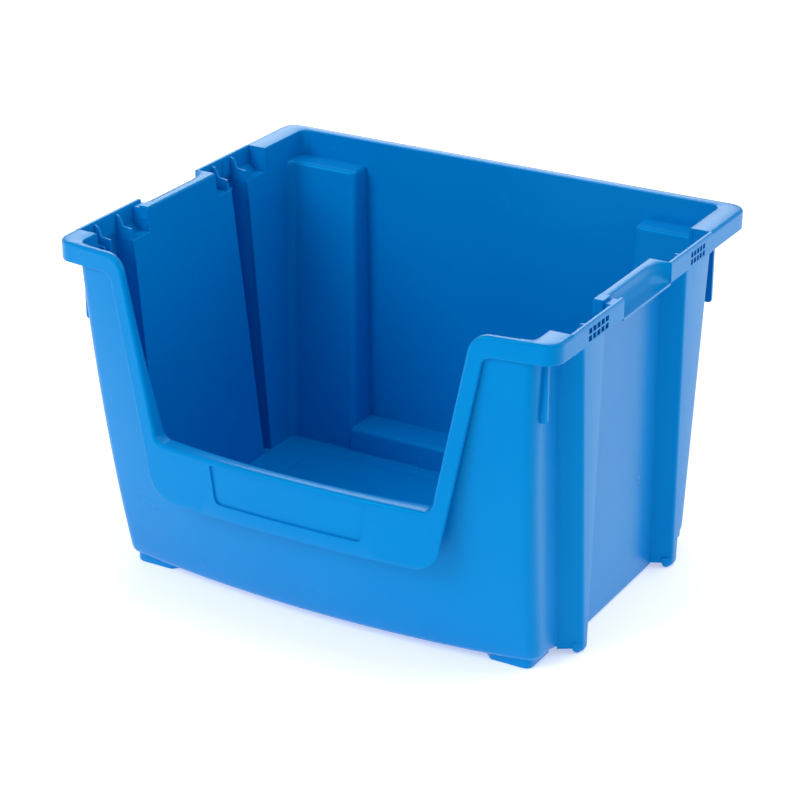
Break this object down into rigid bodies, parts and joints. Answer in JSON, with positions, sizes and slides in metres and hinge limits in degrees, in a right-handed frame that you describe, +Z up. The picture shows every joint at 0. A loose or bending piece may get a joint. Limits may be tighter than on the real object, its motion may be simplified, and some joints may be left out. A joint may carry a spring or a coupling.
{
  "type": "stackable storage bin",
  "caption": "Open-fronted stack-and-nest storage bin with flared walls, a broad rolled rim, side grips and a label apron.",
  "frame": {"origin": "centre of the footprint's bounding box, on the plane the feet stand on", "axes": "+X to the bin's right seen from the front, +Y towards its rear wall (the open front faces -Y), +Z up"},
  "size_m": [0.4, 0.327, 0.265],
  "materials": {
    "blue_polypropylene": "satin moulded"
  },
  "bodies": {
    "root": {"apron_panel": "blue_polypropylene", "floor_panel": "blue_polypropylene", "front_cheek_left": "blue_polypropylene", "front_cheek_right": "blue_polypropylene", "front_corner_post_left": "blue_polypropylene", "front_corner_post_right": "blue_polypropylene", "front_foot_left": "blue_polypropylene", "front_foot_right": "blue_polypropylene", "front_lower_wall": "blue_polypropylene", "front_perforated_skirt_left": "blue_polypropylene", "front_perforated_skirt_right": "blue_polypropylene", "front_pilaster_foot_left": "blue_polypropylene", "front_pilaster_foot_right": "blue_polypropylene", "front_pilaster_left": "blue_polypropylene", "front_pilaster_right": "blue_polypropylene", "front_pocket_floor_left": "blue_polypropylene", "front_pocket_floor_right": "blue_polypropylene", "front_tab_left": "blue_polypropylene", "front_tab_right": "blue_polypropylene", "grip_end_left": "blue_polypropylene", "grip_end_right": "blue_polypropylene", "grip_left": "blue_polypropylene", "grip_right": "blue_polypropylene", "opening_band_left": "blue_polypropylene", "opening_band_right": "blue_polypropylene", "opening_edge_left": "blue_polypropylene", "opening_edge_right": "blue_polypropylene", "opening_sill": "blue_polypropylene", "rear_column_left": "blue_polypropylene", "rear_column_right": "blue_polypropylene", "rear_ledge_left": "blue_polypropylene", "rear_ledge_right": "blue_polypropylene", "rear_perforated_skirt_left": "blue_polypropylene", "rear_perforated_skirt_right": "blue_polypropylene", "rear_pilaster_foot_left": "blue_polypropylene", "rear_pilaster_foot_right": "blue_polypropylene", "rear_pilaster_left": "blue_polypropylene", "rear_pilaster_right": "blue_polypropylene", "rear_pocket_floor_left": "blue_polypropylene", "rear_pocket_floor_right": "blue_polypropylene", "rear_step": "blue_polypropylene", "rear_tab_left": "blue_polypropylene", "rear_tab_right": "blue_polypropylene", "rear_upper_corner_left": "blue_polypropylene", "rear_upper_corner_right": "blue_polypropylene", "rear_wall": "blue_polypropylene", "rim_front_corner_left": "blue_polypropylene", "rim_front_corner_right": "blue_polypropylene", "rim_rear": "blue_polypropylene", "rim_rear_corner_left": "blue_polypropylene", "rim_rear_corner_right": "blue_polypropylene", "side_wall_front_left": "blue_polypropylene", "side_wall_front_right": "blue_polypropylene", "side_wall_middle_left": "blue_polypropylene", "side_wall_middle_right": "blue_polypropylene", "side_wall_rear_left": "blue_polypropylene", "side_wall_rear_right": "blue_polypropylene"}
  },
  "joints": []
}
